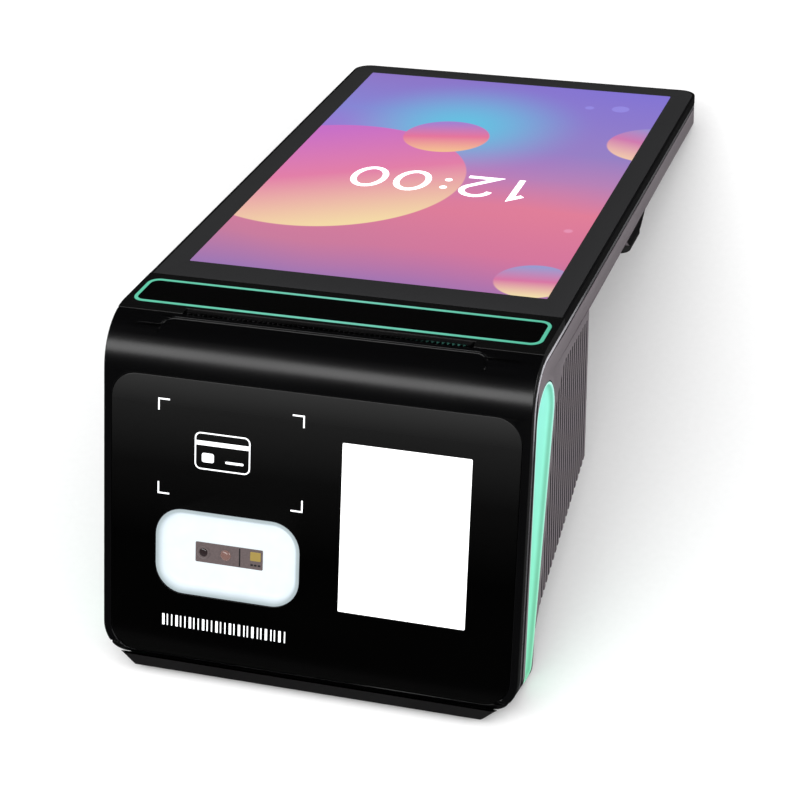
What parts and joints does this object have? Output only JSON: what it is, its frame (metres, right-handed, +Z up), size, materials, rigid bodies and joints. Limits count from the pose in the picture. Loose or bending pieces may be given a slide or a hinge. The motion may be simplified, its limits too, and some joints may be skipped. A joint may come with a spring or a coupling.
{
  "type": "self checkout kiosk",
  "caption": "Countertop self checkout terminal: a sloping touch display, and a hinged front panel with a payment pad, a scanner window and a small screen, over a receipt printer.",
  "frame": {"origin": "on the table, under the middle of the front foot", "axes": "+X to the customer's right, +Y away from the customer, +Z up"},
  "size_m": [0.1239, 0.2633, 0.0846],
  "materials": {
    "grey_housing": "satin",
    "black_frame": "satin",
    "bright_trim": "satin",
    "display_glass": "polished",
    "display_picture": "lit",
    "black_gloss": "polished",
    "mint_light": "lit",
    "black_lens": "polished",
    "front_glass": "polished",
    "steel": "satin",
    "foot_rubber": "matte",
    "roller_rubber": "matte",
    "circuit_board": "satin",
    "dark_plastic": "satin",
    "flex_cable": "satin",
    "paper": "matte",
    "core_board": "matte",
    "gear_plastic": "satin",
    "brass": "satin",
    "lcd_white": "lit",
    "tray_white": "lit",
    "lens_glass": "polished",
    "button_metal": "satin"
  },
  "bodies": {
    "body": {"main_housing": "grey_housing", "mid_frame": "black_frame", "edge_trim": "bright_trim", "touch_glass": "display_glass", "display_panel": "display_picture", "band_panel": "black_gloss", "light_frame": "mint_light", "band_lens": "black_lens", "tear_bar": "steel", "base_cover": "black_frame", "leg_foot": "foot_rubber", "display_feet": "foot_rubber", "side_pads": "foot_rubber", "light_inserts": "mint_light", "led_boards": "circuit_board", "main_board": "circuit_board", "board_shield": "steel", "speaker": "dark_plastic", "network_socket": "steel", "usb_sockets": "steel", "power_socket": "dark_plastic", "display_cable": "flex_cable", "housing_screws": "steel", "base_screws": "steel", "roll_cradle": "black_frame", "printer_frame": "steel", "head_pin": "steel", "paper_sensor": "dark_plastic", "bush_clips": "steel", "idler_pin": "steel", "stepper_motor": "steel"},
    "door": {"front_shell": "black_gloss", "front_glass": "front_glass", "customer_lcd": "lcd_white", "scan_tray": "tray_white", "scanner_module": "dark_plastic", "scanner_lenses": "lens_glass", "payment_antenna": "circuit_board", "door_board": "circuit_board", "door_liner": "black_frame", "door_screws": "steel", "hinge_pin": "steel", "platen_bushes": "brass"},
    "platen": {"platen_roller": "roller_rubber", "platen_shaft": "steel", "platen_gear": "gear_plastic"},
    "idler": {"idler_gear": "gear_plastic"},
    "motor_rotor": {"motor_pinion": "brass"},
    "roll": {"paper_roll": "paper", "paper_core": "core_board"},
    "head": {"print_head": "steel", "head_springs": "steel"},
    "power_key": {"power_button": "button_metal"},
    "volume_up_key": {"volume_up_button": "button_metal"},
    "volume_down_key": {"volume_down_button": "button_metal"}
  },
  "joints": [
    {"name": "door_hinge", "type": "hinge", "parent": "body", "child": "door", "pos_m": [0, -0.00353, 0.00572], "axis": [1, 0, 0], "range_deg": [0, 58]},
    {"name": "platen_spin", "type": "hinge", "parent": "door", "child": "platen", "pos_m": [0, 0.04424, 0.07343], "axis": [1, 0, 0], "continuous": true},
    {"name": "idler_spin", "type": "hinge", "parent": "body", "child": "idler", "pos_m": [0, 0.05223, 0.06369], "axis": [1, 0, 0], "continuous": true},
    {"name": "motor_spin", "type": "hinge", "parent": "body", "child": "motor_rotor", "pos_m": [0, 0.05409, 0.05245], "axis": [1, 0, 0], "continuous": true},
    {"name": "roll_spin", "type": "hinge", "parent": "body", "child": "roll", "pos_m": [0, 0.06453, 0.04016], "axis": [1, 0, 0], "continuous": true},
    {"name": "head_pivot", "type": "hinge", "parent": "body", "child": "head", "pos_m": [0, 0.0476, 0.05935], "axis": [-1, 0, 0], "range_deg": [0, 1.5]},
    {"name": "power_press", "type": "slide", "parent": "body", "child": "power_key", "axis": [1, 0, 0], "range_m": [0, 0.0005]},
    {"name": "volume_up_press", "type": "slide", "parent": "body", "child": "volume_up_key", "axis": [1, 0, 0], "range_m": [0, 0.0005]},
    {"name": "volume_down_press", "type": "slide", "parent": "body", "child": "volume_down_key", "axis": [1, 0, 0], "range_m": [0, 0.0005]}
  ],
  "couplings": [
    {"joint": "platen_spin", "follows": "roll_spin", "ratio": -3.8095},
    {"joint": "idler_spin", "follows": "roll_spin", "ratio": 2.3443},
    {"joint": "motor_spin", "follows": "roll_spin", "ratio": -5.0794}
  ]
}
